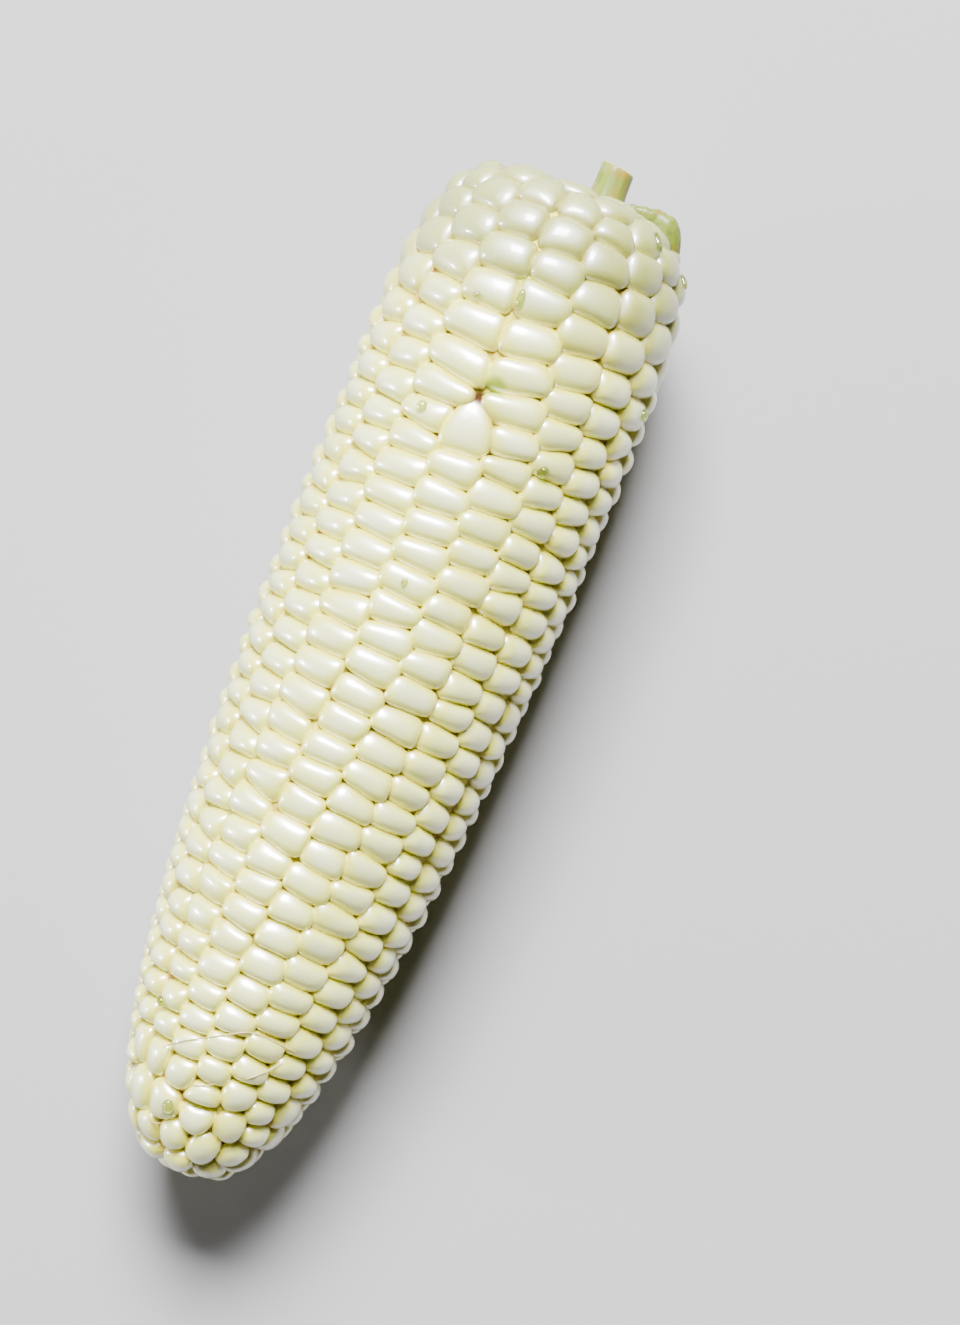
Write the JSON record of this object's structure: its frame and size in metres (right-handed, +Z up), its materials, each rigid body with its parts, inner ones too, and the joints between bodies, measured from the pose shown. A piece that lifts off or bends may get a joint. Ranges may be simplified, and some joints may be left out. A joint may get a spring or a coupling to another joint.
{
  "type": "corn cob",
  "caption": "Husked corn cob lying on its side: rounded kernels in lengthwise rows over a thick body with a tapered tip, and a short shank stub at the butt.",
  "frame": {"origin": "centre of the bounding box's bottom, on the surface that the cob lies on", "axes": "+Y along the cob towards its butt and shank, -Y towards its tip, +Z up from the surface, +X to the right when seen from above with the butt up"},
  "size_m": [0.0522, 0.1894, 0.0522],
  "materials": {
    "kernels": "fresh white waxy corn kernels, smooth, moist and slightly translucent",
    "shank": "pale green fibrous plant tissue, matt"
  },
  "bodies": {
    "root": {"kernels": "kernels", "shank": "shank"}
  },
  "joints": []
}
